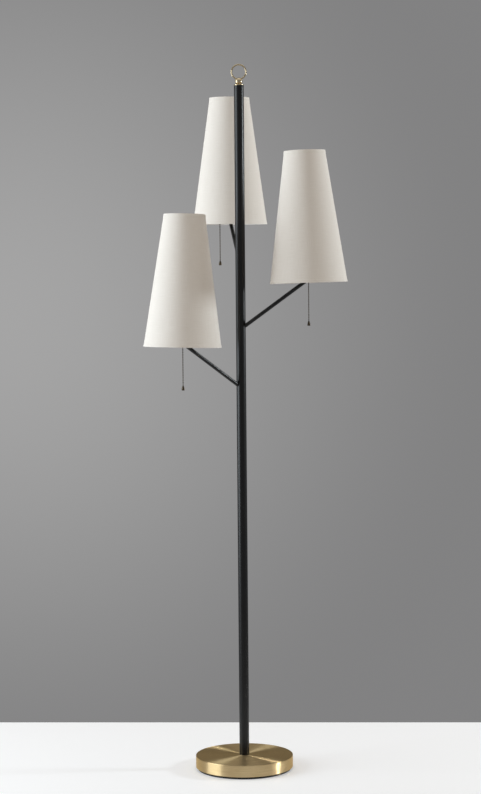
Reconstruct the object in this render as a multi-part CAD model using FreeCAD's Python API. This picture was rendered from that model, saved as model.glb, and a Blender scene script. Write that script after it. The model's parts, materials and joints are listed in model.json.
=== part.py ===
import FreeCAD, Part
import math
import os

# Tree floor lamp: three tall tapered shades on bent arms that branch from one upright pole.
# Millimetres, +Z up. The origin is on the floor, on the pole's axis. Seen from the front, +X is to the
# right and +Y points away, and azimuths are counted from +X towards +Y.

os.makedirs("parts", exist_ok=True)

# Base: a brass cover over a cast weight, on a thick rubber pad
base_diameter = 250.0
cover_height = 30.0
cover_wall = 1.2
cover_edge = 1.5  # bevel round the cover's top
pad_thickness = 6.0
pad_inset = 5.0
weight_gap = 0.5  # between the weight and the cover's wall
counterbore_radius = 19.0
counterbore_depth = 12.0
channel_width = 12.0  # the cord's way out through the weight's underside
channel_height = 14.0

# Threaded parts under the pole
stem_radius = 4.9
stem_bore_radius = 3.75
stem_in_pole = 11.0  # how far the stem reaches up into the pole's lowest plug
washer_radius = 15.0
washer_thickness = 2.0
nut_across_flats = 17.0
nut_height = 5.5
thread_gap = 0.1  # between a threaded rod and its hole
thread_end = 1.0  # how far the stem shows under its nut
stem_hole_gap = 0.4

# Bushing where the cord goes in at the back
bushing_bore_radius = 3.6
bushing_wall = 1.4
bushing_flange_radius = 7.5
bushing_flange = 1.5
bushing_length = 11.0
bushing_axis_height = 8.0  # above the cover's lower edge
bushing_gap = 0.1

# Pole: four equal tubes, joined inside
pole_diameter = 25.0
pole_wall = 1.2
pole_section_length = 428.0
pole_section_count = 4
plug_length = 12.0
coupler_length = 22.0
coupler_bore_radius = 5.0
plug_gap = 0.05  # between a plug and the tube around it

# Finial
finial_cap_thickness = 2.5
finial_cap_lip = 0.2  # how far the cap stands out past the pole
finial_stud_length = 10.0
finial_pin_radius = 2.0
finial_pin_height = 4.0
finial_ball_radius = 9.5
finial_ball_sink = 1.5  # the ball is cut flat where it sits on the cap
finial_ball_top_angle = 80.0  # degrees up from the ball's middle to the small flat on its top
finial_ring_radius = 18.2  # to the middle of the wire
finial_wire_radius = 2.0
finial_ring_rise = 5.4  # the wire's lowest point above the ball's centre

# Arms: one tube each, straight up from the pole and bent upright under the shade
arm_reach = 185.0  # from the pole's axis to the middle of the shade's lower rim
arm_diameter = 9.5
arm_wall = 1.2
arm_bend_radius = 22.0
arm_corner_rise = 10.0  # where the straight run meets the shade's axis, above the rim
arm_tip_rise = 34.0
weld_gap = 0.05  # between the coped end of an arm and the pole

# Heights of the lower rims, the drop from each rim to the arm's root, and the shades' lean to the pole
low_azimuth = 218.0
low_rim_height = 1091.5
low_arm_drop = 108.5
low_lean = 1.8
middle_azimuth = -22.0
middle_rim_height = 1248.5
middle_arm_drop = 116.5
middle_lean = 1.6
top_azimuth = 98.0
top_rim_height = 1402.5
top_arm_drop = 106.5
top_lean = 0.7

# Shades
shade_bottom_radius = 97.5
shade_top_radius = 52.0
shade_height = 330.0
shade_wall = 1.2
frame_ring_width = 3.0
frame_ring_height = 3.0
frame_ring_rise = 1.5  # above the lower rim, and below the upper one
frame_gap = 0.25  # between a wire ring and the shade's inside
spoke_radius = 1.5
spoke_count = 3
fitter_width = 5.0
fitter_thickness = 2.5

# Lamp sockets. Heights are above the lower rim, along the shade's axis.
cap_bottom_rise = 26.0
cap_height = 20.0
cap_hub_radius = 8.0
cap_hub_height = 7.5
cap_wall = 1.2
socket_radius = 16.2
socket_wall = 0.8
socket_bottom_rise = 40.0
socket_top_rise = 88.0
socket_gap = 0.2
shoulder_rise = 72.0
shoulder_height = 3.0
shoulder_width = 3.4
retainer_width = 4.0
retainer_height = 5.5
holder_bottom_rise = 38.0
holder_bore_radius = 13.5
holder_floor_rise = 62.0

# Bulbs
bulb_cap_radius = 13.0
bulb_cap_length = 25.5
bulb_cap_taper = 5.0  # height of the cap's tapered foot
bulb_contact_radius = 4.5
bulb_radius = 30.0
bulb_length = 110.0
bulb_neck_radius = 14.0
bulb_wall = 1.2
bulb_cap_gap = 0.5  # between the bulb's cap and the holder's floor
bulb_ball_angles = (-50, -20, 10, 40, 75)  # degrees up from the ball's middle to each ring of corners

# Pull chains. Each switch barrel holds a plunger that the chain draws down.
low_chain_azimuth = -90.0
low_chain_offset = 24.0  # from the shade's axis
middle_chain_azimuth = -90.0
middle_chain_offset = 24.0
top_chain_azimuth = 180.0
top_chain_offset = 27.0
barrel_rise = 50.0
barrel_radius = 4.5
barrel_height = 17.0
barrel_wall = 1.3
barrel_mouth_radius = 2.1
neck_radius = 3.0
neck_gap = 0.3
plunger_collar_radius = 2.7
plunger_collar_height = 3.0
plunger_stem_radius = 1.5
plunger_gap = 0.2  # over the collar at rest
plunger_reach = 3.0  # how far the stem shows under the barrel
chain_bead_radius = 1.6
chain_neck_radius = 0.55
chain_pitch = 7.5
chain_gap = 0.5  # between the plunger and the first bead
bell_end_drop = 107.0  # from the lower rim to the bell's end
bell_length = 12.0
bell_radius = 3.9
bell_top_radius = 1.3
bell_profile = ((0.8, 0.0), (1.0, 0.12), (0.85, 0.5), (0.53, 0.85))  # shares of its radius and length

# Leads from the base up through the pole into each socket
lead_radius = 1.2
lead_offset = 2.2  # from the pole's axis
lead_end_gap = 0.3  # under the lampholder

# Flat facets round each kind of piece
base_sides = 48
pole_sides = 24
shade_sides = 48
shade_ring_sides = 24
arm_sides = 12
arm_bend_steps = 4
plug_sides = 12
socket_sides = 16
bulb_sides = 12
ball_sides = 16
ball_bands = 6
ring_segments = 20
wire_sides = 8
small_sides = 12
bead_sides = 6

up = FreeCAD.Vector(0, 0, 1)

cover_bottom = pad_thickness
base_top = cover_bottom + cover_height
cover_radius = base_diameter / 2
pole_radius = pole_diameter / 2
pole_bore_radius = pole_radius - pole_wall
pole_top = base_top + pole_section_count * pole_section_length
arm_radius = arm_diameter / 2
arm_bore_radius = arm_radius - arm_wall
stem_hole_radius = stem_radius + stem_hole_gap
stem_bottom = cover_bottom + counterbore_depth - washer_thickness - nut_height - thread_end
stem_top = base_top + stem_in_pole
bushing_body_radius = bushing_bore_radius + bushing_wall
bushing_axis_z = cover_bottom + bushing_axis_height
shade_taper = (shade_bottom_radius - shade_top_radius) / shade_height
fitter_inside = socket_radius + socket_gap
fitter_bottom = shoulder_rise + shoulder_height
fitter_top = fitter_bottom + fitter_thickness
holder_radius = socket_radius - socket_wall - socket_gap
bulb_cap_bottom = holder_floor_rise + bulb_cap_gap
bulb_neck_rise = bulb_cap_bottom + bulb_cap_length
bulb_top = bulb_cap_bottom + bulb_length
barrel_top = barrel_height / 2
barrel_cavity_top = barrel_top - barrel_wall
plunger_top = barrel_cavity_top - plunger_gap
plunger_bottom = -barrel_top - plunger_reach


def vector(x, y, z):
    return FreeCAD.Vector(x, y, z)


bushing_centre = vector(0, cover_radius + bushing_flange, bushing_axis_z)


def save(name, *solids):
    shape = solids[0] if len(solids) == 1 else Part.makeCompound(list(solids))
    shape.exportStep(f"parts/{name}.step")


def placed(shape, placement):
    moved = shape.copy()
    moved.Placement = placement.multiply(moved.Placement)
    return moved


# The corner radius of a polygon whose flats lie at this radius
def flats_at(radius, sides):
    return radius / math.cos(math.pi / sides)


def flat_face(corners):
    return Part.Face(Part.makePolygon(corners + corners[:1]))


# A solid of flat facets strung from ring to ring. Rings that loop close on the first one.
def faceted(rings, loops=False):
    following = rings[1:] + rings[:1] if loops else rings[1:]
    faces = []
    for near, far in zip(rings, following):
        for k in range(len(near)):
            n = (k + 1) % len(near)
            faces.append(flat_face([near[k], near[n], far[n], far[k]]))
    if not loops:
        faces.append(flat_face(rings[0]))
        faces.append(flat_face(rings[-1]))
    shell = Part.makeShell(faces)
    shell.sewShape()
    solid = Part.makeSolid(shell)
    if solid.Volume < 0:
        solid.reverse()
    return solid


def polygon_ring(radius, height, sides):
    angles = [2 * math.pi * k / sides for k in range(sides)]
    return [vector(radius * math.cos(a), radius * math.sin(a), height) for a in angles]


# A faceted solid round Z. An outline that loops leaves a hole down the middle.
def turned(outline, sides, loops=False):
    return faceted([polygon_ring(radius, height, sides) for radius, height in outline], loops)


def disc(radius, bottom, top, sides):
    return turned([(radius, bottom), (radius, top)], sides)


def tube(outer_radius, inner_radius, bottom, top, sides):
    outline = [(inner_radius, bottom), (outer_radius, bottom), (outer_radius, top), (inner_radius, top)]
    return turned(outline, sides, loops=True)


# A faceted rod along a list of points in a plane square to the side given, mitred at each bend
def rod(points, side, radius, sides):
    runs = [(b - a).normalize() for a, b in zip(points, points[1:])]
    rings = []
    for point, before, after in zip(points, [runs[0]] + runs, runs + [runs[-1]]):
        across = (before + after).normalize()
        lift = side.cross(across) / across.dot(before)
        ring = []
        for k in range(sides):
            angle = 2 * math.pi * k / sides
            ring.append(point + (side * math.cos(angle) + lift * math.sin(angle)) * radius)
        rings.append(ring)
    return faceted(rings)


# A faceted wire ring about Z
def wire_ring(ring_radius, wire_radius, segments, sides):
    rings = []
    for k in range(segments):
        outwards = FreeCAD.Rotation(up, 360.0 * k / segments).multVec(vector(1, 0, 0))
        ring = []
        for m in range(sides):
            angle = 2 * math.pi * m / sides
            reach = ring_radius + wire_radius * math.cos(angle)
            ring.append(outwards * reach + up * (wire_radius * math.sin(angle)))
        rings.append(ring)
    return faceted(rings, loops=True)


# One head of the lamp: where its shade's axis stands and how its arm gets there
class Head:
    def __init__(self, name, azimuth, rim_height, arm_drop, lean, chain_azimuth, chain_offset):
        self.name = name
        self.outwards = FreeCAD.Rotation(up, azimuth).multVec(vector(1, 0, 0))
        self.side = self.outwards.cross(up)
        self.root = up * (rim_height - arm_drop)
        turn = FreeCAD.Rotation(up, azimuth).multiply(FreeCAD.Rotation(vector(0, 1, 0), -lean))
        self.placement = FreeCAD.Placement(self.outwards * arm_reach + up * rim_height, turn)
        self.axis = turn.multVec(up)
        self.corner = self.on_axis(arm_corner_rise)
        self.arm_direction = (self.corner - self.root).normalize()
        self.rim_height = rim_height
        sideways = FreeCAD.Rotation(up, chain_azimuth)
        self.chain_place = self.on_axis(barrel_rise) + sideways.multVec(vector(chain_offset, 0, 0))
        self.chain_turn = sideways
        self.chain_offset = chain_offset

    def on_axis(self, rise):
        return self.placement.multVec(vector(0, 0, rise))

    # Where the arm's bend starts, the point it turns about and its angle
    def bend(self):
        turn = self.arm_direction.getAngle(self.axis)
        tangent = arm_bend_radius * math.tan(turn / 2)
        start = self.corner - self.arm_direction * tangent
        pivot = start + self.side.cross(self.arm_direction) * arm_bend_radius
        return start, pivot, turn


heads = [
    Head("low", low_azimuth, low_rim_height, low_arm_drop, low_lean, low_chain_azimuth, low_chain_offset),
    Head(
        "middle",
        middle_azimuth,
        middle_rim_height,
        middle_arm_drop,
        middle_lean,
        middle_chain_azimuth,
        middle_chain_offset,
    ),
    Head("top", top_azimuth, top_rim_height, top_arm_drop, top_lean, top_chain_azimuth, top_chain_offset),
]


# The centre line of an arm, from a point on its straight run to the end of its bend
def arm_path(head, start):
    bend_start, pivot, turn = head.bend()
    points = [start]
    for k in range(arm_bend_steps + 1):
        swing = FreeCAD.Rotation(head.side, math.degrees(turn) * k / arm_bend_steps)
        points.append(pivot + swing.multVec(bend_start - pivot))
    return points


# A rod down the middle of an arm, from the pole's axis to the arm's tip
def arm_core(head, radius):
    path = arm_path(head, head.root) + [head.on_axis(arm_tip_rise)]
    return rod(path, head.side, radius, arm_sides)


def arm(head):
    bent_tube = arm_core(head, arm_radius).cut(arm_core(head, arm_bore_radius))
    return bent_tube.cut(disc(pole_radius + weld_gap, 0, pole_top, pole_sides))


# Faceted solids for the bushing and its hole, along -Y from the bushing's outer end
def bushing_rod(radius, length):
    backwards = FreeCAD.Placement(bushing_centre, FreeCAD.Rotation(vector(1, 0, 0), 90))
    return placed(disc(radius, 0, length, small_sides), backwards)


def base_cover():
    inside_radius = cover_radius - cover_wall
    ceiling = base_top - cover_wall
    outline = [
        (stem_hole_radius, base_top),
        (cover_radius - cover_edge, base_top),
        (cover_radius, base_top - cover_edge),
        (cover_radius, cover_bottom),
        (inside_radius, cover_bottom),
        (inside_radius, ceiling),
        (stem_hole_radius, ceiling),
    ]
    cover = turned(outline, base_sides, loops=True)
    return cover.cut(bushing_rod(bushing_body_radius + bushing_gap, bushing_length))


def cord_bushing():
    body = bushing_rod(bushing_body_radius, bushing_length)
    flange = bushing_rod(bushing_flange_radius, bushing_flange)
    bore = Part.makeCylinder(bushing_bore_radius, bushing_length, bushing_centre, vector(0, -1, 0))
    return body.fuse(flange).cut(bore)


def base_weight():
    top = base_top - cover_wall
    radius = cover_radius - cover_wall - weight_gap
    weight = tube(radius, stem_hole_radius, cover_bottom, top, base_sides)
    seat = cover_bottom + counterbore_depth
    weight = weight.cut(disc(counterbore_radius, cover_bottom, seat, socket_sides))
    corner = vector(-channel_width / 2, 0, cover_bottom)
    return weight.cut(Part.makeBox(channel_width, base_diameter, channel_height, corner))


def base_nut(top):
    hexagon = disc(flats_at(nut_across_flats / 2, 6), top - nut_height, top, 6)
    hole_radius = flats_at(stem_radius + thread_gap, socket_sides)
    return hexagon.cut(disc(hole_radius, top - nut_height, top, socket_sides))


def save_base():
    save("base_cover", base_cover())
    save("base_weight", base_weight())
    save("base_pad", disc(cover_radius - pad_inset, 0, pad_thickness, base_sides))
    seat = cover_bottom + counterbore_depth
    under_washer = seat - washer_thickness
    save("base_washer", tube(washer_radius, stem_hole_radius, under_washer, seat, socket_sides))
    save("base_nut", base_nut(under_washer))
    save("base_stem", tube(stem_radius, stem_bore_radius, stem_bottom, stem_top, socket_sides))
    save("cord_bushing", cord_bushing())


def save_pole():
    # Each arm's bore goes on through the pole's wall, for the lead
    lead_holes = Part.makeCompound([arm_core(head, arm_bore_radius) for head in heads])
    plug_radius = pole_bore_radius * math.cos(math.pi / pole_sides) - plug_gap
    couplers = []
    for k in range(pole_section_count):
        bottom = base_top + k * pole_section_length
        section = tube(pole_radius, pole_bore_radius, bottom, bottom + pole_section_length, pole_sides)
        save(f"pole_section_{k + 1}", section.cut(lead_holes))
        if k:
            reach = coupler_length / 2
            coupler = tube(plug_radius, coupler_bore_radius, bottom - reach, bottom + reach, plug_sides)
            couplers.append(coupler.cut(lead_holes))
    save("pole_couplers", *couplers)
    plug_bore = flats_at(stem_radius + thread_gap, plug_sides)
    bottom_plug = tube(plug_radius, plug_bore, base_top, base_top + plug_length, plug_sides)
    top_plug = tube(plug_radius, plug_bore, pole_top - plug_length, pole_top, plug_sides)
    save("pole_plugs", bottom_plug, top_plug)


def save_finial():
    cap_top = pole_top + finial_cap_thickness
    cap_radius = pole_radius + finial_cap_lip
    cap_outline = [
        (stem_radius, pole_top - finial_stud_length),
        (stem_radius, pole_top),
        (cap_radius, pole_top),
        (cap_radius, cap_top),
        (finial_pin_radius, cap_top),
        (finial_pin_radius, cap_top + finial_pin_height),
    ]
    save("finial_cap", turned(cap_outline, ball_sides))

    ball_centre = cap_top + finial_ball_radius - finial_ball_sink
    lowest = math.degrees(math.asin((finial_ball_sink - finial_ball_radius) / finial_ball_radius))
    ball_outline = []
    for k in range(ball_bands + 1):
        angle = math.radians(lowest + (finial_ball_top_angle - lowest) * k / ball_bands)
        height = ball_centre + finial_ball_radius * math.sin(angle)
        ball_outline.append((finial_ball_radius * math.cos(angle), height))
    pin_top = cap_top + finial_pin_height + thread_gap
    pin_hole = disc(flats_at(finial_pin_radius + thread_gap, small_sides), cap_top, pin_top, small_sides)
    ring_centre = ball_centre + finial_ring_rise + finial_ring_radius
    upright = FreeCAD.Placement(up * ring_centre, FreeCAD.Rotation(vector(1, 0, 0), 90))
    ring = placed(wire_ring(finial_ring_radius, finial_wire_radius, ring_segments, wire_sides), upright)
    groove = placed(
        wire_ring(finial_ring_radius, finial_wire_radius + thread_gap, ring_segments, wire_sides), upright
    )
    save("finial_ball", turned(ball_outline, ball_sides).cut(pin_hole).cut(groove))
    save("finial_ring", ring)


# Radius of the shade's inside at a height above its lower rim, at the flats of its facets
def shade_inside(rise):
    return (shade_bottom_radius - shade_wall - shade_taper * rise) * math.cos(math.pi / shade_sides)


def shade_cover():
    outline = [
        (shade_bottom_radius, 0),
        (shade_top_radius, shade_height),
        (shade_top_radius - shade_wall, shade_height),
        (shade_bottom_radius - shade_wall, 0),
    ]
    return turned(outline, shade_sides, loops=True)


def shade_ring(bottom):
    top = bottom + frame_ring_height
    outside = shade_inside(top) - frame_gap
    return tube(outside, outside - frame_ring_width, bottom, top, shade_ring_sides)


def shade_frame():
    outside = fitter_inside + fitter_width
    fitter = tube(outside, fitter_inside, fitter_bottom, fitter_top, socket_sides)
    frame = shade_ring(frame_ring_rise).fuse(fitter)
    ring_middle = frame_ring_rise + frame_ring_height / 2
    ring_radius = shade_inside(ring_middle) - frame_gap - frame_ring_width / 2
    high_end = vector(outside - spoke_radius, 0, fitter_top - fitter_thickness / 2)
    low_end = vector(ring_radius, 0, ring_middle)
    for k in range(spoke_count):
        turn = FreeCAD.Rotation(up, 360.0 * k / spoke_count)
        ends = [turn.multVec(high_end), turn.multVec(low_end)]
        frame = frame.fuse(rod(ends, turn.multVec(vector(0, 1, 0)), spoke_radius, bead_sides))
    return frame


def socket_cap():
    outside = socket_radius + socket_gap + cap_wall
    inside = socket_radius + socket_gap
    hole = flats_at(arm_radius + thread_gap, socket_sides)
    floor = cap_bottom_rise + cap_hub_height
    top = cap_bottom_rise + cap_height
    shoulder = socket_bottom_rise - cap_wall
    outline = [
        (hole, cap_bottom_rise),
        (cap_hub_radius, cap_bottom_rise),
        (cap_hub_radius, cap_bottom_rise + cap_wall * 2),
        (outside, shoulder),
        (outside, top),
        (inside, top),
        (inside, shoulder),
        (cap_hub_radius, floor),
        (hole, floor),
    ]
    return turned(outline, socket_sides, loops=True)


def socket_shell():
    inside = socket_radius - socket_wall
    shoulder = socket_radius + shoulder_width
    outline = [
        (inside, socket_bottom_rise),
        (socket_radius, socket_bottom_rise),
        (socket_radius, shoulder_rise),
        (shoulder, shoulder_rise + shoulder_height / 2),
        (shoulder, shoulder_rise + shoulder_height),
        (socket_radius, shoulder_rise + shoulder_height),
        (socket_radius, socket_top_rise),
        (inside, socket_top_rise),
    ]
    return turned(outline, socket_sides, loops=True)


def lampholder():
    top = bulb_neck_rise - bulb_cap_gap
    body = disc(holder_radius, holder_bottom_rise, top, socket_sides)
    return body.cut(disc(holder_bore_radius, holder_floor_rise, top, socket_sides))


def shade_retainer():
    outside = fitter_inside + retainer_width
    return tube(outside, fitter_inside, fitter_top, fitter_top + retainer_height, socket_sides)


def bulb_cap():
    outline = [
        (bulb_contact_radius, bulb_cap_bottom),
        (bulb_cap_radius, bulb_cap_bottom + bulb_cap_taper),
        (bulb_cap_radius, bulb_neck_rise),
    ]
    return turned(outline, bulb_sides)


# The bulb's outline: a neck that swells into a ball, drawn in by a wall
def bulb_outline(wall):
    centre = bulb_top - bulb_radius
    radius = bulb_radius - wall
    outline = [(bulb_neck_radius - wall, bulb_neck_rise)]
    for angle in [math.radians(degrees) for degrees in bulb_ball_angles]:
        outline.append((radius * math.cos(angle), centre + radius * math.sin(angle)))
    return outline


def bulb_glass():
    return turned(bulb_outline(0), bulb_sides).cut(turned(bulb_outline(bulb_wall), bulb_sides))


# The neck joins the barrel to the socket, along -X from the barrel's axis
def neck(radius, start, end):
    corners = polygon_ring(radius, 0, wire_sides)
    along = FreeCAD.Placement(vector(-start, 0, 0), FreeCAD.Rotation(vector(0, 1, 0), -90))
    return placed(flat_face(corners).extrude(up * (end - start)), along)


def chain_placement(head):
    return FreeCAD.Placement(head.chain_place, head.chain_turn)


def chain_guide(head):
    barrel = disc(barrel_radius, -barrel_top, barrel_top, small_sides)
    neck_start = barrel_radius - barrel_wall / 2
    neck_end = head.chain_offset - holder_radius - neck_gap
    guide = barrel.fuse(neck(neck_radius, neck_start, neck_end))
    cavity = disc(barrel_radius - barrel_wall, -barrel_cavity_top, barrel_cavity_top, small_sides)
    mouth = disc(barrel_mouth_radius, -barrel_top, 0, small_sides)
    return placed(guide.cut(cavity).cut(mouth), chain_placement(head))


# The hole in the socket's shell that the neck goes through, in the shell's own frame
def neck_hole(head):
    hole = neck(neck_radius + neck_gap, 0, head.chain_offset - holder_radius)
    return placed(hole, head.placement.inverse().multiply(chain_placement(head)))


def plunger(head):
    outline = [
        (plunger_stem_radius, plunger_bottom),
        (plunger_stem_radius, plunger_top - plunger_collar_height),
        (plunger_collar_radius, plunger_top - plunger_collar_height),
        (plunger_collar_radius, plunger_top),
    ]
    return placed(turned(outline, small_sides), chain_placement(head))


# The chain hangs plumb from the plunger to the bell, as beads on short necks
def hanging_chain(head):
    top = plunger_bottom - chain_gap
    bottom = head.rim_height - bell_end_drop + bell_length - head.chain_place.z
    count = max(1, round((top - bottom) / chain_pitch))
    pitch = (top - bottom) / count
    outline = [(chain_neck_radius, bottom)]
    for k in range(count):
        outline.append((chain_bead_radius, bottom + pitch * (k + 0.5)))
        outline.append((chain_neck_radius, bottom + pitch * (k + 1)))
    return placed(turned(outline, bead_sides), chain_placement(head))


def chain_bell(head):
    end = head.rim_height - bell_end_drop - head.chain_place.z
    outline = [(bell_radius * wide, end + bell_length * high) for wide, high in bell_profile]
    outline.append((bell_top_radius, end + bell_length))
    return placed(turned(outline, small_sides), chain_placement(head))


def save_head(head):
    save(f"arm_{head.name}", arm(head))
    shell = socket_shell().cut(neck_hole(head))
    on_the_axis = {
        "socket_cap": socket_cap(),
        "socket_shell": shell,
        "lampholder": lampholder(),
        "shade_retainer": shade_retainer(),
        "shade_cover": shade_cover(),
        "shade_frame": shade_frame(),
        "shade_top_ring": shade_ring(shade_height - frame_ring_rise - frame_ring_height),
        "bulb_cap": bulb_cap(),
        "bulb_glass": bulb_glass(),
    }
    for name, piece in on_the_axis.items():
        save(f"{name}_{head.name}", placed(piece, head.placement))
    save(f"chain_guide_{head.name}", chain_guide(head))
    save(f"pull_plunger_{head.name}", plunger(head))
    save(f"pull_chain_{head.name}", hanging_chain(head))
    save(f"pull_bell_{head.name}", chain_bell(head))


# A lead climbs the pole beside its axis, turns into its arm and ends under the lampholder
def lead(head):
    beside_axis = head.outwards * lead_offset
    slope = head.arm_direction.z / head.arm_direction.dot(head.outwards)
    points = [beside_axis + up * stem_bottom]
    points += arm_path(head, head.root + beside_axis + up * (lead_offset * slope))
    points.append(head.on_axis(holder_bottom_rise - lead_end_gap))
    return rod(points, head.side, lead_radius, bead_sides)


save_base()
save_pole()
save_finial()
for lamp_head in heads:
    save_head(lamp_head)
save("arm_leads", *[lead(head) for head in heads])
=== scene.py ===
import json
import math

import bmesh
import bpy
from mathutils import Matrix, Vector


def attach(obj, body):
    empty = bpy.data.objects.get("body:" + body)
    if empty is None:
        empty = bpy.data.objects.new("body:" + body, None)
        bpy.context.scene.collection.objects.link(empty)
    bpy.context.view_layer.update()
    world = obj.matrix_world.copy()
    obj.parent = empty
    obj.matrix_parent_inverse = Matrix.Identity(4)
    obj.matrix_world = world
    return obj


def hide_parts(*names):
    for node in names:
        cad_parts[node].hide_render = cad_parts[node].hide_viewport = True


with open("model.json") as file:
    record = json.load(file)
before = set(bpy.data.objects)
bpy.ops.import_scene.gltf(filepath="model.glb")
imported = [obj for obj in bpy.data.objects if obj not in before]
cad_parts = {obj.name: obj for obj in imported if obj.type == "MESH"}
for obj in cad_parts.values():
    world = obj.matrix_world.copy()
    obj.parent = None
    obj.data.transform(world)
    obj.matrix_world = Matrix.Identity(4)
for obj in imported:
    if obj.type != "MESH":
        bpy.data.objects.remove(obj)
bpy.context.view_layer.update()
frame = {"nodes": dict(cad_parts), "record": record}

mm = 0.001
up = Vector((0, 0, 1))
leastTurn = math.radians(12)  # corners that turn less aren't rounded
edgeShare = 0.45  # of an edge, the most that one rounded corner takes
print("frame loaded:", len(frame["nodes"]), "nodes")


# Every finished piece sits at the origin, with its place in its mesh
def finishMesh(name, bm, place=None, sharpAngle=40):
    bmesh.ops.remove_doubles(bm, verts=bm.verts, dist=1e-7)
    bmesh.ops.recalc_face_normals(bm, faces=bm.faces)
    mesh = bpy.data.meshes.new(name)
    bm.to_mesh(mesh)
    bm.free()
    if place:
        mesh.transform(place)
    mesh.shade_smooth()
    mesh.set_sharp_from_angle(angle=math.radians(sharpAngle))
    piece = bpy.data.objects.new(name, mesh)
    bpy.context.scene.collection.objects.link(piece)
    return piece


# Rounds the corners of an outline, so that edges catch the light
def softened(outline, radius, closed=True, steps=3):
    points = [Vector(p) for p in outline]
    rounded = []
    for i, corner in enumerate(points):
        if not closed and i in (0, len(points) - 1):
            rounded.append(corner)
            continue
        before = points[i - 1] - corner
        after = points[(i + 1) % len(points)] - corner
        turn = math.pi - before.angle(after)
        if turn < leastTurn:
            rounded.append(corner)
            continue
        reach = min(radius * math.tan(turn / 2), edgeShare * before.length, edgeShare * after.length)
        start = corner + before.normalized() * reach
        end = corner + after.normalized() * reach
        for k in range(steps + 1):
            t = k / steps
            rounded.append(start * (1 - t) ** 2 + corner * (2 * t * (1 - t)) + end * t ** 2)
    return withEndRings(rounded, radius, closed)


# Keeps long walls flat in their shading, with a ring close to each of their ends
def withEndRings(points, near, closed, longFrom=4):
    ringed = []
    for i, point in enumerate(points):
        ringed.append(point)
        following = points[(i + 1) % len(points)]
        length = (following - point).length
        if length > longFrom * near and (closed or i < len(points) - 1):
            ringed += [point.lerp(following, near / length), following.lerp(point, near / length)]
    return ringed


def fullTurn(steps):
    return [2 * math.pi * k / steps for k in range(steps)]


# Adds an outline of (radius, height) in millimetres, turned round Z, with a UV map in metres
def addTurned(bm, outline, sides, closed=True, material=None):
    uvMap = bm.loops.layers.uv.verify()
    around = 2 * math.pi * max(p[0] for p in outline) * mm
    along = [0.0]
    for a, b in zip(outline, list(outline[1:]) + [outline[0]]):
        along.append(along[-1] + math.dist(a, b) * mm)
    rings = []
    for radius, height in outline:
        reach, z = radius * mm, height * mm
        rings.append([bm.verts.new((reach * math.cos(a), reach * math.sin(a), z)) for a in fullTurn(sides)])
    for i in range(len(outline) if closed else len(outline) - 1):
        j = (i + 1) % len(outline)
        for k in range(sides):
            n = (k + 1) % sides
            face = bm.faces.new((rings[i][k], rings[i][n], rings[j][n], rings[j][k]))
            corners = ((k, i), (k + 1, i), (k + 1, i + 1), (k, i + 1))
            for loop, (turn, row) in zip(face.loops, corners):
                loop[uvMap].uv = (around * turn / sides, along[row])
            if material:
                face.material_index = material(i)


def turnedPiece(name, outline, sides, place=None, closed=True, round=0.3):
    bm = bmesh.new()
    addTurned(bm, softened(outline, round, closed) if round else outline, sides, closed)
    return finishMesh(name, bm, place)


# Adds a round wire along points in metres that lie in a plane square to side
def addWire(bm, points, side, radius, sides):
    runs = [(b - a).normalized() for a, b in zip(points, points[1:])]
    rings = []
    for point, before, after in zip(points, [runs[0]] + runs, runs + [runs[-1]]):
        across = (before + after).normalized()
        lift = side.cross(across) / across.dot(before)
        offsets = [(side * math.cos(a) + lift * math.sin(a)) * radius for a in fullTurn(sides)]
        rings.append([bm.verts.new(point + offset) for offset in offsets])
    for near, far in zip(rings, rings[1:]):
        for k in range(sides):
            n = (k + 1) % sides
            bm.faces.new((near[k], near[n], far[n], far[k]))
    bm.faces.new(rings[0])
    bm.faces.new(rings[-1])


def ringOutline(ringRadius, wireRadius, height, steps=16):
    angles = fullTurn(steps)
    return [(ringRadius + wireRadius * math.cos(a), height + wireRadius * math.sin(a)) for a in angles]


def newGroup(name, inputs, outputs):
    group = bpy.data.node_groups.new(name, "ShaderNodeTree")
    for label, kind in inputs:
        group.interface.new_socket(label, in_out="INPUT", socket_type=kind)
    for label, kind in outputs:
        group.interface.new_socket(label, in_out="OUTPUT", socket_type=kind)
    return group, group.nodes.new("NodeGroupInput"), group.nodes.new("NodeGroupOutput")


def addNode(tree, kind, inputs=(), **settings):
    node = tree.nodes.new(kind)
    for key, value in settings.items():
        setattr(node, key, value)
    for socket, value in dict(inputs).items():
        if isinstance(value, bpy.types.NodeSocket):
            tree.links.new(value, node.inputs[socket])
        else:
            node.inputs[socket].default_value = value
    return node


def calc(tree, a, operation, b):
    return addNode(tree, "ShaderNodeMath", {0: a, 1: b}, operation=operation).outputs[0]


def noise(tree, vector, scale, detail):
    inputs = {"Vector": vector, "Scale": scale, "Detail": detail}
    return addNode(tree, "ShaderNodeTexNoise", inputs).outputs["Fac"]


def colorRamp(tree, factor, colors, ends=(0.0, 1.0)):
    ramp = addNode(tree, "ShaderNodeValToRGB", {"Fac": factor})
    for element, position, color in zip(ramp.color_ramp.elements, ends, colors):
        element.position = position
        element.color = (*color, 1)
    return ramp


# Rays from the camera, also by way of mirrors and glass
def seenRays(tree):
    path = addNode(tree, "ShaderNodeLightPath").outputs
    straightOrMirrored = calc(tree, path["Is Camera Ray"], "MAXIMUM", path["Is Glossy Ray"])
    return calc(tree, straightOrMirrored, "MAXIMUM", path["Is Transmission Ray"])


colorKind, floatKind, vectorKind = "NodeSocketColor", "NodeSocketFloat", "NodeSocketVector"


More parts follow.
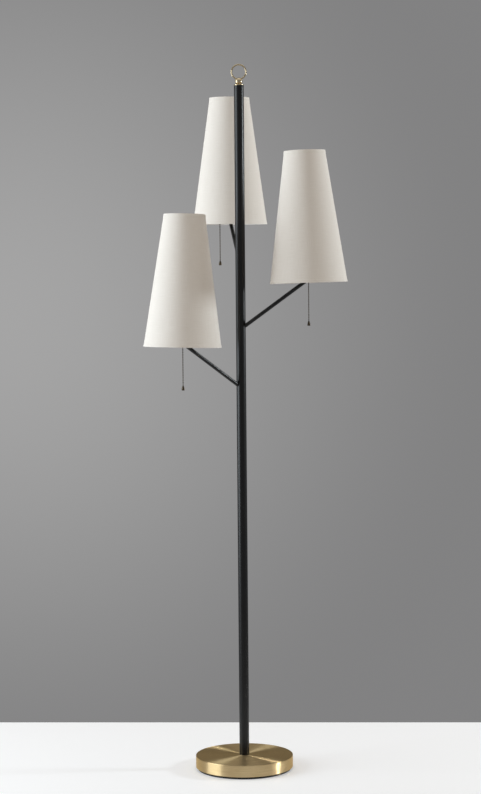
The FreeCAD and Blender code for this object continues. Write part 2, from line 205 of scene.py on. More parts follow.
# Cloudy tone, uneven gloss and a fine skin: what every real finish has
def makeFinishGroup():
    group, given, out = newGroup(
        "unevenFinish",
        [("Vector", vectorKind), ("Color", colorKind), ("Tone Spread", floatKind), ("Cloud Scale", floatKind),
         ("Skin Scale", floatKind), ("Roughness", floatKind), ("Roughness Spread", floatKind)],
        [("Color", colorKind), ("Roughness", floatKind), ("Height", floatKind)],
    )
    get = given.outputs
    cloud = noise(group, get["Vector"], get["Cloud Scale"], 4.0)
    skin = noise(group, get["Vector"], get["Skin Scale"], 3.0)
    swing = calc(group, cloud, "SUBTRACT", 0.5)
    tone = calc(group, calc(group, swing, "MULTIPLY", get["Tone Spread"]), "ADD", 1.0)
    tinted = addNode(group, "ShaderNodeVectorMath", {0: get["Color"], "Scale": tone}, operation="SCALE")
    skinSwing = calc(group, skin, "SUBTRACT", 0.5)
    both = calc(group, swing, "ADD", skinSwing)
    rough = calc(group, calc(group, both, "MULTIPLY", get["Roughness Spread"]), "ADD", get["Roughness"])
    group.links.new(tinted.outputs[0], out.inputs["Color"])
    group.links.new(rough, out.inputs["Roughness"])
    group.links.new(skin, out.inputs["Height"])
    return group


# Fine scratches that run round the piece's upright axis, as left by a spinning wheel
def makeBrushGroup(finerBy=3.7):
    group, given, out = newGroup(
        "turnedBrushing",
        [("Vector", vectorKind), ("Lines", floatKind), ("Length", floatKind)],
        [("Streak", floatKind), ("Fine", floatKind)],
    )
    parts = addNode(group, "ShaderNodeSeparateXYZ", {0: given.outputs["Vector"]})
    x, y, z = parts.outputs
    squares = calc(group, calc(group, x, "MULTIPLY", x), "ADD", calc(group, y, "MULTIPLY", y))
    reach = calc(group, squares, "SQRT", 0.0)
    angle = calc(group, y, "ARCTAN2", x)
    lines = calc(group, calc(group, reach, "ADD", z), "MULTIPLY", given.outputs["Lines"])
    turn = calc(group, angle, "MULTIPLY", given.outputs["Length"])
    coordinates = addNode(group, "ShaderNodeCombineXYZ", {0: lines, 1: turn})
    wide = coordinates.outputs[0]
    closer = addNode(group, "ShaderNodeVectorMath", {0: wide, "Scale": finerBy}, operation="SCALE")
    group.links.new(noise(group, wide, 1.0, 2.0), out.inputs["Streak"])
    group.links.new(noise(group, closer.outputs[0], 1.0, 3.0), out.inputs["Fine"])
    return group


# Plain weave with thick and thin yarns, on a UV map in metres
def makeWeaveGroup(crossingShare=0.25):
    group, given, out = newGroup(
        "linenWeave",
        [("Vector", vectorKind), ("Yarns", floatKind), ("Slub Length", floatKind), ("Slub Width", floatKind)],
        [("Slub", floatKind), ("Height", floatKind)],
    )
    parts = addNode(group, "ShaderNodeSeparateXYZ", {0: given.outputs["Vector"]})
    across, along = parts.outputs[0], parts.outputs[1]
    waves = []
    for axis in (across, along):
        waves.append(calc(group, calc(group, axis, "MULTIPLY", given.outputs["Yarns"]), "SINE", 0.0))
    crossing = calc(group, waves[0], "MULTIPLY", waves[1])
    slubs = []
    for longWay, shortWay in ((across, along), (along, across)):
        stretched = addNode(group, "ShaderNodeCombineXYZ", {
            0: calc(group, longWay, "MULTIPLY", given.outputs["Slub Length"]),
            1: calc(group, shortWay, "MULTIPLY", given.outputs["Slub Width"]),
        })
        slubs.append(noise(group, stretched.outputs[0], 1.0, 3.0))
    both = calc(group, calc(group, slubs[0], "ADD", slubs[1]), "MULTIPLY", 0.5)
    height = calc(group, calc(group, crossing, "MULTIPLY", crossingShare), "ADD", both)
    group.links.new(both, out.inputs["Slub"])
    group.links.new(height, out.inputs["Height"])
    return group


finishGroup, brushGroup, weaveGroup = makeFinishGroup(), makeBrushGroup(), makeWeaveGroup()


def startMaterial(name, constants):
    material = bpy.data.materials.new(name)
    material.use_nodes = True
    tree = material.node_tree
    shader = tree.nodes["Principled BSDF"]
    for socket, value in constants.items():
        shader.inputs[socket].default_value = value
    coordinates = addNode(tree, "ShaderNodeTexCoord")
    return material, tree, shader, coordinates


def addBump(tree, shader, height, strength, distance):
    bump = addNode(tree, "ShaderNodeBump", {"Height": height, "Strength": strength, "Distance": distance})
    tree.links.new(bump.outputs[0], shader.inputs["Normal"])


def addRoughness(tree, shader, mask, look):
    swing = calc(tree, mask, "MULTIPLY", look["roughnessSpread"])
    rough = calc(tree, swing, "ADD", look["roughness"] - look["roughnessSpread"] / 2)
    tree.links.new(rough, shader.inputs["Roughness"])


def plainFinish(name, look):
    material, tree, shader, coordinates = startMaterial(name, look.get("shader", {}))
    finish = addNode(tree, "ShaderNodeGroup", {}, node_tree=finishGroup)
    values = {"Color": (*look["color"], 1), "Tone Spread": look["tone"], "Cloud Scale": look["cloud"],
              "Skin Scale": look["skin"], "Roughness": look["roughness"], "Roughness Spread": look["spread"]}
    for label, value in values.items():
        finish.inputs[label].default_value = value
    tree.links.new(coordinates.outputs["Object"], finish.inputs["Vector"])
    tree.links.new(finish.outputs["Color"], shader.inputs["Base Color"])
    tree.links.new(finish.outputs["Roughness"], shader.inputs["Roughness"])
    addBump(tree, shader, finish.outputs["Height"], look["bump"], 0.0004)
    return material


brushedBrass = {
    "light": (0.72, 0.56, 0.32), "dark": (0.50, 0.36, 0.18), "edge": (1.0, 0.84, 0.58),
    "lines": 2600.0, "length": 2.2, "clouds": 26.0, "cloudShare": 0.3, "blend": (0.3, 0.68),
    "roughness": 0.34, "roughnessSpread": 0.14, "anisotropy": 1.0, "bump": 0.02,
}


def brushedBrassMaterial(name):
    look = brushedBrass
    material, tree, shader, coordinates = startMaterial(
        name, {"Metallic": 1.0, "Anisotropic": look["anisotropy"], "Anisotropic Rotation": 0.25,
               "Specular Tint": (*look["edge"], 1)}
    )
    brush = addNode(tree, "ShaderNodeGroup", {}, node_tree=brushGroup)
    brush.inputs["Lines"].default_value = look["lines"]
    brush.inputs["Length"].default_value = look["length"]
    tree.links.new(coordinates.outputs["Object"], brush.inputs["Vector"])
    cloud = noise(tree, coordinates.outputs["Object"], look["clouds"], 4.0)
    streaks = calc(tree, brush.outputs["Streak"], "MULTIPLY", 1 - look["cloudShare"])
    blend = calc(tree, streaks, "ADD", calc(tree, cloud, "MULTIPLY", look["cloudShare"]))
    ramp = colorRamp(tree, blend, (look["dark"], look["light"]), look["blend"])
    tree.links.new(ramp.outputs["Color"], shader.inputs["Base Color"])
    addRoughness(tree, shader, brush.outputs["Fine"], look)
    addBump(tree, shader, brush.outputs["Fine"], look["bump"], 0.0003)
    tangent = addNode(tree, "ShaderNodeTangent", {}, direction_type="RADIAL", axis="Z")
    tree.links.new(tangent.outputs[0], shader.inputs["Tangent"])
    return material


linen = {
    "light": (0.81, 0.785, 0.75), "dark": (0.745, 0.715, 0.67),
    "yarns": 7200.0, "slubLength": 26.0, "slubWidth": 1300.0, "blend": (0.32, 0.62),
    "roughness": 0.92, "roughnessSpread": 0.1, "bump": 0.22,
}


def linenMaterial(name):
    look = linen
    material, tree, shader, coordinates = startMaterial(
        name, {"Specular IOR Level": 0.2, "Sheen Weight": 0.15, "Sheen Roughness": 0.5}
    )
    weave = addNode(tree, "ShaderNodeGroup", {}, node_tree=weaveGroup)
    weave.inputs["Yarns"].default_value = look["yarns"]
    weave.inputs["Slub Length"].default_value = look["slubLength"]
    weave.inputs["Slub Width"].default_value = look["slubWidth"]
    tree.links.new(coordinates.outputs["UV"], weave.inputs["Vector"])
    ramp = colorRamp(tree, weave.outputs["Slub"], (look["dark"], look["light"]), look["blend"])
    tree.links.new(ramp.outputs["Color"], shader.inputs["Base Color"])
    addRoughness(tree, shader, weave.outputs["Slub"], look)
    addBump(tree, shader, weave.outputs["Height"], look["bump"], 0.0003)
    return material


# tone and spread: how far colour and roughness wander; cloud and skin: patches and grain to the metre
plainLooks = {
    "finialBrass": {"color": (0.60, 0.49, 0.32), "roughness": 0.25, "tone": 0.15, "cloud": 60.0,
                    "skin": 1400.0, "spread": 0.08, "bump": 0.02, "shader": {"Metallic": 1.0}},
    "agedBrass": {"color": (0.068, 0.052, 0.034), "roughness": 0.36, "tone": 0.5, "cloud": 140.0,
                  "skin": 1800.0, "spread": 0.2, "bump": 0.05, "shader": {"Metallic": 1.0}},
    "blackPaint": {"color": (0.0032, 0.0032, 0.0037), "roughness": 0.33, "tone": 0.2, "cloud": 9.0,
                   "skin": 1100.0, "spread": 0.06, "bump": 0.03, "shader": {"Specular IOR Level": 0.38}},
    "whiteLining": {"color": (0.86, 0.85, 0.81), "roughness": 0.55, "tone": 0.05, "cloud": 12.0,
                    "skin": 500.0, "spread": 0.08, "bump": 0.03},
    "whiteWire": {"color": (0.74, 0.73, 0.69), "roughness": 0.38, "tone": 0.1, "cloud": 40.0, "skin": 900.0,
                  "spread": 0.1, "bump": 0.05},
    "castIron": {"color": (0.10, 0.10, 0.10), "roughness": 0.75, "tone": 0.4, "cloud": 40.0, "skin": 420.0,
                 "spread": 0.15, "bump": 0.5, "shader": {"Metallic": 0.6}},
    "padRubber": {"color": (0.022, 0.021, 0.02), "roughness": 0.8, "tone": 0.25, "cloud": 30.0, "skin": 700.0,
                  "spread": 0.1, "bump": 0.2},
    "plainSteel": {"color": (0.50, 0.50, 0.51), "roughness": 0.34, "tone": 0.15, "cloud": 60.0,
                   "skin": 1200.0, "spread": 0.15, "bump": 0.06, "shader": {"Metallic": 1.0}},
    "blackPlastic": {"color": (0.02, 0.02, 0.021), "roughness": 0.45, "tone": 0.15, "cloud": 40.0,
                     "skin": 800.0, "spread": 0.1, "bump": 0.1},
    "frostedGlass": {"color": (0.93, 0.92, 0.88), "roughness": 0.35, "tone": 0.03, "cloud": 30.0,
                     "skin": 900.0, "spread": 0.06, "bump": 0.02,
                     "shader": {"Transmission Weight": 0.25, "IOR": 1.45}},
    "bulbAluminium": {"color": (0.72, 0.72, 0.72), "roughness": 0.3, "tone": 0.12, "cloud": 80.0,
                      "skin": 1200.0, "spread": 0.12, "bump": 0.08, "shader": {"Metallic": 1.0}},
    "leadJacket": {"color": (0.03, 0.03, 0.03), "roughness": 0.4, "tone": 0.1, "cloud": 50.0, "skin": 700.0,
                   "spread": 0.08, "bump": 0.05},
}
plainSlots = {
    "finialBrass": "finialBrass", "aged_brass": "agedBrass", "black_metal": "blackPaint",
    "shadeLining": "whiteLining", "frame_wire": "whiteWire", "cast_weight": "castIron",
    "pad_rubber": "padRubber", "plain_steel": "plainSteel", "black_plastic": "blackPlastic",
    "bulb_glass": "frostedGlass", "bulb_cap": "bulbAluminium", "lead_jacket": "leadJacket",
}
finishes = {slot: plainFinish(name, plainLooks[name]) for slot, name in plainSlots.items()}
finishes["antique_brass"] = brushedBrassMaterial("brushedBrass")
finishes["shade_fabric"] = linenMaterial("creamLinen")
print("materials made:", len(finishes))

for part in frame["record"]["subparts"]:
    node = frame["nodes"][part["node"]]
    node.data.materials.clear()
    node.data.materials.append(finishes[part["material_slot"]])


# Gives a piece its finish, its body and the nodes that it stands for
def settle(piece, slot, body, *nodes, look=None):
    if not piece.data.materials:
        piece.data.materials.append(finishes[look or slot])
    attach(piece, body)
    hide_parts(*nodes)
    return piece


base = {
    "radius": 125.0, "bottom": 6.0, "top": 36.0, "wall": 1.2, "hole": 5.3, "edge": 1.7,
    "padRadius": 120.0, "padFoot": 1.2, "sides": 160,
}
pole = {"radius": 12.5, "bore": 11.3, "bottom": 36.0, "section": 428.0, "count": 4, "sides": 48, "edge": 0.25}
poleTop = pole["bottom"] + pole["section"] * pole["count"]


def makeBase():
    b = base
    inside, ceiling = b["radius"] - b["wall"], b["top"] - b["wall"]
    cover = turnedPiece("baseCover", [
        (b["hole"], b["top"]), (b["hole"], ceiling), (inside, ceiling), (inside, b["bottom"]),
        (b["radius"], b["bottom"]), (b["radius"], b["top"]),
    ], b["sides"], round=b["edge"])
    settle(cover, "antique_brass", "lamp", "base_cover")
    pad = turnedPiece("basePad", [
        (0, 0), (b["padRadius"], 0), (b["padRadius"], b["bottom"]), (0, b["bottom"]),
    ], b["sides"], closed=False, round=b["padFoot"])
    settle(pad, "pad_rubber", "lamp", "base_pad")


def makePole():
    p = pole
    for k in range(p["count"]):
        bottom = p["bottom"] + k * p["section"]
        top = bottom + p["section"]
        outline = [(p["bore"], bottom), (p["radius"], bottom), (p["radius"], top), (p["bore"], top)]
        section = turnedPiece(f"poleSection{k + 1}", outline, p["sides"], round=p["edge"])
        settle(section, "black_metal", "lamp", f"pole_section_{k + 1}")


finial = {
    "cap": 2.5, "capRadius": 12.7, "stud": 10.0, "studRadius": 4.9, "ball": 9.5, "sink": 1.5,
    "ring": 18.2, "wire": 2.0, "rise": 5.4, "capRound": 0.9,
    "capSides": 48, "ballSides": 40, "ballSteps": 20, "ringSides": 72,
}


def makeFinial():
    f = finial
    capTop = poleTop + f["cap"]
    cap = turnedPiece("finialCap", [
        (0, poleTop - f["stud"]), (f["studRadius"], poleTop - f["stud"]), (f["studRadius"], poleTop),
        (f["capRadius"], poleTop), (f["capRadius"], capTop), (0, capTop),
    ], f["capSides"], closed=False, round=f["capRound"])
    settle(cap, "antique_brass", "lamp", "finial_cap", look="finialBrass")
    centre = capTop + f["ball"] - f["sink"]
    lowest = math.asin((f["sink"] - f["ball"]) / f["ball"])
    outline = [(0, capTop)]
    for k in range(f["ballSteps"] + 1):
        a = lowest + (math.pi / 2 - lowest) * k / f["ballSteps"]
        outline.append((f["ball"] * math.cos(a), centre + f["ball"] * math.sin(a)))
    ball = turnedPiece("finialBall", outline, f["ballSides"], closed=False, round=0)
    settle(ball, "antique_brass", "lamp", "finial_ball", look="finialBrass")
    height = (centre + f["rise"] + f["ring"]) * mm
    upright = Matrix.Translation((0, 0, height)) @ Matrix.Rotation(math.pi / 2, 4, "X")
    ring = turnedPiece("finialRing", ringOutline(f["ring"], f["wire"], 0), f["ringSides"], upright, round=0)
    settle(ring, "antique_brass", "lamp", "finial_ring", look="finialBrass")


makeBase()
makePole()
makeFinial()
print("base, pole and finial made")


# Where each head stands round the pole, in degrees and millimetres
heads = {
    "low": {"azimuth": 218.0, "rim": 1091.5, "drop": 108.5, "lean": 1.8,
            "chainAzimuth": -90.0, "chainOffset": 24.0, "seamAzimuth": -25.0},
    "middle": {"azimuth": -22.0, "rim": 1248.5, "drop": 116.5, "lean": 1.6,
               "chainAzimuth": -90.0, "chainOffset": 24.0, "seamAzimuth": 110.0},
    "top": {"azimuth": 98.0, "rim": 1402.5, "drop": 106.5, "lean": 0.7,
            "chainAzimuth": 180.0, "chainOffset": 27.0, "seamAzimuth": 75.0},
}
arm = {
    "reach": 185.0, "radius": 4.75, "sink": 0.6, "bend": 22.0, "corner": 10.0, "tip": 34.0,
    "sides": 24, "steps": 12,
}


def headPlace(h):
    a = math.radians(h["azimuth"])
    turn = Matrix.Rotation(a, 4, "Z") @ Matrix.Rotation(math.radians(-h["lean"]), 4, "Y")
    rim = Vector((arm["reach"] * math.cos(a), arm["reach"] * math.sin(a), h["rim"])) * mm
    return Matrix.Translation(rim) @ turn


# The arm leaves the pole's wall straight and turns upright under the shade
def makeArm(name, h):
    place = headPlace(h)
    a = math.radians(h["azimuth"])
    outwards = Vector((math.cos(a), math.sin(a), 0))
    side = outwards.cross(up)
    axis = (place.to_3x3() @ up).normalized()
    root = up * (h["rim"] - h["drop"]) * mm
    corner = place @ Vector((0, 0, arm["corner"] * mm))
    direction = (corner - root).normalized()
    turn = direction.angle(axis)
    bend = arm["bend"] * mm
    start = corner - direction * bend * math.tan(turn / 2)
    pivot = start + side.cross(direction) * bend
    atWall = root + direction * (pole["radius"] - arm["sink"]) * mm / direction.dot(outwards)
    points = [atWall]
    for k in range(arm["steps"] + 1):
        points.append(pivot + Matrix.Rotation(turn * k / arm["steps"], 3, side) @ (start - pivot))
    points.append(place @ Vector((0, 0, arm["tip"] * mm)))
    bm = bmesh.new()
    addWire(bm, points, side, arm["radius"] * mm, arm["sides"])
    settle(finishMesh(f"arm_tube_{name}", bm), "black_metal", "lamp", f"arm_{name}")


shade = {
    "bottomRadius": 97.5, "topRadius": 52.0, "height": 330.0, "wall": 1.2, "sides": 144, "rows": 12,
    "hem": 7.0, "hemThickness": 0.45, "hemStep": 0.4,
    "seamWidth": 9.0, "seamThickness": 0.3, "seamDepth": 0.05,
}
taper = (shade["bottomRadius"] - shade["topRadius"]) / shade["height"]


def shadeInside(rise):
    return shade["bottomRadius"] - shade["wall"] - taper * rise


# Linen over a stiff lining, with the cloth turned over both rims and lapped along one seam
def makeShade(name, h):
    s = shade
    thick, hem, step, height = s["hemThickness"], s["hem"], s["hemStep"], s["height"]

    def outside(rise, lift=0.0):
        return (s["bottomRadius"] - taper * rise - thick + lift, rise)

    outer = [outside(0, thick), outside(hem, thick), outside(hem + step)]
    for k in range(1, s["rows"]):
        outer.append(outside(hem + (height - 2 * hem) * k / s["rows"]))
    outer += [outside(height - hem - step), outside(height - hem, thick), outside(height, thick)]
    inner = [(shadeInside(rise), rise) for rise in (height, height - hem, hem, 0)]
    liningFrom = len(outer) + 1
    bm = bmesh.new()
    addTurned(bm, outer + inner, s["sides"], True, lambda i: 1 if i == liningFrom else 0)
    place = headPlace(h)
    # the lap: the cloth stands a little proud along one line, on the side that seamAzimuth gives
    halfLap = s["seamWidth"] / 2
    seam = math.radians((h["seamAzimuth"] - h["azimuth"]) % 360)
    for vertex in bm.verts:
        radius = math.hypot(vertex.co.x, vertex.co.y) / mm
        rise = vertex.co.z / mm
        turn = math.atan2(vertex.co.y, vertex.co.x) - seam
        away = abs((turn + math.pi) % (2 * math.pi) - math.pi) * radius
        if away < halfLap and radius > outside(rise)[0] - s["seamDepth"]:
            scale = (radius + s["seamThickness"]) / radius
            vertex.co.x *= scale
            vertex.co.y *= scale
    piece = finishMesh(f"shade_{name}", bm, place, 30)
    piece.data.materials.append(finishes["shade_fabric"])
    piece.data.materials.append(finishes["shadeLining"])
    settle(piece, "shade_fabric", "lamp", f"shade_cover_{name}")


frameWire = {
    "ringRadius": 1.5, "ringRise": 3.0, "ringSides": 96, "wireSides": 12, "gap": 0.4,
    "spokes": 3, "spokeRadius": 1.5, "spokeSides": 14, "fitterInside": 16.4, "fitterWidth": 5.0,
    "fitterBottom": 75.0, "fitterThickness": 2.5, "fitterSides": 64, "fitterRound": 0.5,
}


# Wire rings at both rims, and three spokes from the lower one up to the flat fitter
def makeFrame(name, h):
    f = frameWire
    place = headPlace(h)
    outside = f["fitterInside"] + f["fitterWidth"]
    top = f["fitterBottom"] + f["fitterThickness"]
    ringRadius = shadeInside(f["ringRise"]) - f["gap"] - f["ringRadius"]
    bm = bmesh.new()
    addTurned(bm, ringOutline(ringRadius, f["ringRadius"], f["ringRise"], f["wireSides"]), f["ringSides"])
    inside, bottom = f["fitterInside"], f["fitterBottom"]
    fitter = [(inside, bottom), (outside, bottom), (outside, top), (inside, top)]
    addTurned(bm, softened(fitter, f["fitterRound"]), f["fitterSides"])
    fitterEnd = Vector((outside - f["spokeRadius"], 0, top - f["fitterThickness"] / 2))
    ringEnd = Vector((ringRadius, 0, f["ringRise"]))
    for k in range(f["spokes"]):
        turn = Matrix.Rotation(2 * math.pi * k / f["spokes"], 3, "Z")
        ends = [turn @ end * mm for end in (fitterEnd, ringEnd)]
        addWire(bm, ends, turn @ Vector((0, 1, 0)), f["spokeRadius"] * mm, f["spokeSides"])
    settle(finishMesh(f"shade_wires_{name}", bm, place), "frame_wire", "lamp", f"shade_frame_{name}")
    rise = shade["height"] - f["ringRise"]
    topRadius = shadeInside(rise) - f["gap"] - f["ringRadius"]
    outline = ringOutline(topRadius, f["ringRadius"], rise, f["wireSides"])
    topRing = turnedPiece(f"top_wire_{name}", outline, f["ringSides"], place, round=0)
    settle(topRing, "frame_wire", "lamp", f"shade_top_ring_{name}")


socket = {
    "radius": 16.2, "wall": 0.8, "gap": 0.2, "bottom": 40.0, "top": 88.0,
    "shoulder": 72.0, "shoulderHeight": 3.0, "shoulderWidth": 3.4,
    "capBottom": 26.0, "capHub": 8.0, "capHubHeight": 7.5, "capHeight": 20.0, "capWall": 1.2, "capRound": 0.6,
    "armGap": 0.1, "threads": 5, "threadDepth": 0.35, "sides": 64,
}
holderRadius = socket["radius"] - socket["wall"] - socket["gap"]


def makeSocket(name, h):
    s = socket
    place = headPlace(h)
    outside = s["radius"] + s["gap"] + s["capWall"]
    inside = s["radius"] + s["gap"]
    shoulder = s["bottom"] - s["capWall"]
    hole, hub, foot = arm["radius"] + s["armGap"], s["capHub"], s["capBottom"]
    rim, hubTop = foot + s["capHeight"], foot + s["capHubHeight"]
    cap = turnedPiece(f"socket_cap_shell_{name}", [
        (hole, foot), (hub, foot), (hub, foot + 2 * s["capWall"]), (outside, shoulder), (outside, rim),
        (inside, rim), (inside, shoulder), (hub, hubTop), (hole, hubTop),
    ], s["sides"], place, round=s["capRound"])
    settle(cap, "black_metal", "lamp", f"socket_cap_{name}")
    bore = s["radius"] - s["wall"]
    wide = s["radius"] + s["shoulderWidth"]
    outline = [(bore, s["bottom"]), (s["radius"], s["bottom"]), (s["radius"], s["shoulder"]),
               (wide, s["shoulder"] + s["shoulderHeight"] / 2), (wide, s["shoulder"] + s["shoulderHeight"])]
    threadStart = s["shoulder"] + s["shoulderHeight"]
    pitch = (s["top"] - threadStart) / s["threads"]
    outline.append((s["radius"] - s["threadDepth"], threadStart))
    for k in range(s["threads"]):
        outline.append((s["radius"], threadStart + pitch * (k + 0.5)))
        outline.append((s["radius"] - s["threadDepth"], threadStart + pitch * (k + 1)))
    outline.append((bore, s["top"]))
    shell = turnedPiece(f"socket_barrel_{name}", outline, s["sides"], place)
    settle(shell, "black_metal", "lamp", f"socket_shell_{name}")


# Grip ribs round the retainer ring, as instances turned about its axis
def ribTree():
    tree = bpy.data.node_groups.new("gripRibs", "GeometryNodeTree")
    kinds = [("Geometry", "NodeSocketGeometry"), ("Count", "NodeSocketInt"), ("Ring Radius", floatKind),
             ("Rib Width", floatKind), ("Rib Height", floatKind), ("Finish", "NodeSocketMaterial")]
    for label, kind in kinds:
        tree.interface.new_socket(label, in_out="INPUT", socket_type=kind)
    tree.interface.new_socket("Geometry", in_out="OUTPUT", socket_type="NodeSocketGeometry")
    given, out = tree.nodes.new("NodeGroupInput"), tree.nodes.new("NodeGroupOutput")
    get = given.outputs
    circle = addNode(tree, "GeometryNodeMeshCircle", {"Vertices": get["Count"], "Radius": get["Ring Radius"]})
    wide = get["Rib Width"]
    size = addNode(tree, "ShaderNodeCombineXYZ", {0: wide, 1: wide, 2: get["Rib Height"]})
    rib = addNode(tree, "GeometryNodeMeshCube", {"Size": size.outputs[0]})
    place = addNode(tree, "GeometryNodeInputPosition")
    aim = addNode(tree, "FunctionNodeAlignRotationToVector", {"Vector": place.outputs[0]}, axis="X")
    ribs = addNode(tree, "GeometryNodeInstanceOnPoints", {
        "Points": circle.outputs[0], "Instance": rib.outputs[0], "Rotation": aim.outputs[0]})
    joined = addNode(tree, "GeometryNodeJoinGeometry")
    tree.links.new(get["Geometry"], joined.inputs[0])
    tree.links.new(ribs.outputs[0], joined.inputs[0])
    real = addNode(tree, "GeometryNodeRealizeInstances", {0: joined.outputs[0]}).outputs[0]
    painted = addNode(tree, "GeometryNodeSetMaterial", {"Geometry": real, "Material": get["Finish"]})
    tree.links.new(painted.outputs[0], out.inputs[0])
    return tree


# A ball chain: beads on a thin link, hung straight down from its start
def chainTree():
    tree = bpy.data.node_groups.new("ballChain", "GeometryNodeTree")
    kinds = [("Geometry", "NodeSocketGeometry"), ("Count", "NodeSocketInt"), ("Start", vectorKind),
             ("Pitch", floatKind), ("Bead Radius", floatKind), ("Link Radius", floatKind),
             ("Finish", "NodeSocketMaterial")]
    for label, kind in kinds:
        tree.interface.new_socket(label, in_out="INPUT", socket_type=kind)
    tree.interface.new_socket("Geometry", in_out="OUTPUT", socket_type="NodeSocketGeometry")
    given, out = tree.nodes.new("NodeGroupInput"), tree.nodes.new("NodeGroupOutput")
    get = given.outputs
    down = calc(tree, get["Pitch"], "MULTIPLY", -1.0)
    step = addNode(tree, "ShaderNodeCombineXYZ", {2: down})
    line = addNode(tree, "GeometryNodeMeshLine", {
        "Count": get["Count"], "Start Location": get["Start"], "Offset": step.outputs[0]})
    bead = addNode(tree, "GeometryNodeMeshUVSphere", {
        "Segments": 10, "Rings": 7, "Radius": get["Bead Radius"]})
    beads = addNode(tree, "GeometryNodeInstanceOnPoints", {
        "Points": line.outputs[0], "Instance": bead.outputs[0]})
    curve = addNode(tree, "GeometryNodeMeshToCurve", {"Mesh": line.outputs[0]})
    profile = addNode(tree, "GeometryNodeCurvePrimitiveCircle", {
        "Resolution": 6, "Radius": get["Link Radius"]})
    link = addNode(tree, "GeometryNodeCurveToMesh", {
        "Curve": curve.outputs[0], "Profile Curve": profile.outputs[0], "Fill Caps": True})
    joined = addNode(tree, "GeometryNodeJoinGeometry")
    tree.links.new(beads.outputs[0], joined.inputs[0])
    tree.links.new(link.outputs[0], joined.inputs[0])
    real = addNode(tree, "GeometryNodeRealizeInstances", {0: joined.outputs[0]})
    smooth = addNode(tree, "GeometryNodeSetShadeSmooth", {"Geometry": real.outputs[0]}).outputs[0]
    painted = addNode(tree, "GeometryNodeSetMaterial", {"Geometry": smooth, "Material": get["Finish"]})
    tree.links.new(painted.outputs[0], out.inputs[0])
    return tree


# Runs a tree on a piece with these named values and keeps the plain mesh that it makes
def grown(piece, tree, values):
    modifier = piece.modifiers.new(tree.name, "NODES")
    modifier.node_group = tree
    for item in tree.interface.items_tree:
        if item.in_out == "INPUT" and item.name in values:
            modifier[item.identifier] = values[item.name]
    piece.update_tag()
    bpy.context.view_layer.update()
    evaluated = piece.evaluated_get(bpy.context.evaluated_depsgraph_get())
    mesh = bpy.data.meshes.new_from_object(evaluated)
    piece.modifiers.remove(modifier)
    piece.data = mesh
    return piece


ribs, ballChain = ribTree(), chainTree()


retainer = {"width": 4.0, "height": 5.5, "lip": 1.4, "ribFoot": 1.8, "ribMargin": 0.6, "ribWidth": 1.0,
            "ribs": 24, "sides": 64}


def makeRetainer(name, h):
    r = retainer
    inside = frameWire["fitterInside"]
    outside = inside + r["width"]
    wall = outside - r["ribWidth"] / 2
    bottom = frameWire["fitterBottom"] + frameWire["fitterThickness"]
    top, foot = bottom + r["height"], bottom + r["ribFoot"]
    ring = turnedPiece(f"retainer_ring_{name}", [
        (inside, bottom), (outside, bottom), (outside, bottom + r["lip"]),
        (wall, foot), (wall, top), (inside, top),
    ], r["sides"])
    middle = Matrix.Translation((0, 0, (foot + top) / 2 * mm))
    ring.data.transform(middle.inverted())
    grown(ring, ribs, {
        "Count": r["ribs"], "Ring Radius": wall * mm, "Rib Width": r["ribWidth"] * mm,
        "Rib Height": (top - foot - r["ribMargin"]) * mm, "Finish": finishes["black_plastic"],
    })
    ring.data.transform(headPlace(h) @ middle)
    settle(ring, "black_plastic", "lamp", f"shade_retainer_{name}")


bulb = {
    "capRadius": 13.0, "contactRadius": 4.5, "capBottom": 62.5, "capTaper": 5.0, "capLength": 25.5,
    "neck": 14.0, "radius": 30.0, "length": 110.0, "wall": 1.2, "threads": 6, "threadDepth": 0.5,
    "neckLength": 3.0, "neckReach": 18.0, "ballFrom": -42.0, "neckSteps": 8, "ballSteps": 16, "sides": 48,
    "holderBottom": 38.0, "holderFloor": 62.0, "holderBore": 13.5, "holderTop": 87.5,
    "capRound": 0.4, "holderRound": 0.5,
}


def bulbOutline(wall):
    b = bulb
    centre = b["capBottom"] + b["length"] - b["radius"]
    neckTop = b["capBottom"] + b["capLength"]
    neck, radius = b["neck"] - wall, b["radius"] - wall
    leave = math.radians(b["ballFrom"])
    neckEnd = Vector((neck, neckTop + b["neckLength"]))
    ballStart = Vector((radius * math.cos(leave), centre + radius * math.sin(leave)))
    pull = Vector((neck, neckTop + b["neckReach"]))
    outline = [(neck, neckTop), tuple(neckEnd)]
    for k in range(1, b["neckSteps"]):
        t = k / b["neckSteps"]
        outline.append(tuple(neckEnd * (1 - t) ** 2 + pull * (2 * t * (1 - t)) + ballStart * t ** 2))
    for k in range(b["ballSteps"] + 1):
        a = leave + (math.pi / 2 - leave) * k / b["ballSteps"]
        outline.append((radius * math.cos(a), centre + radius * math.sin(a)))
    return outline


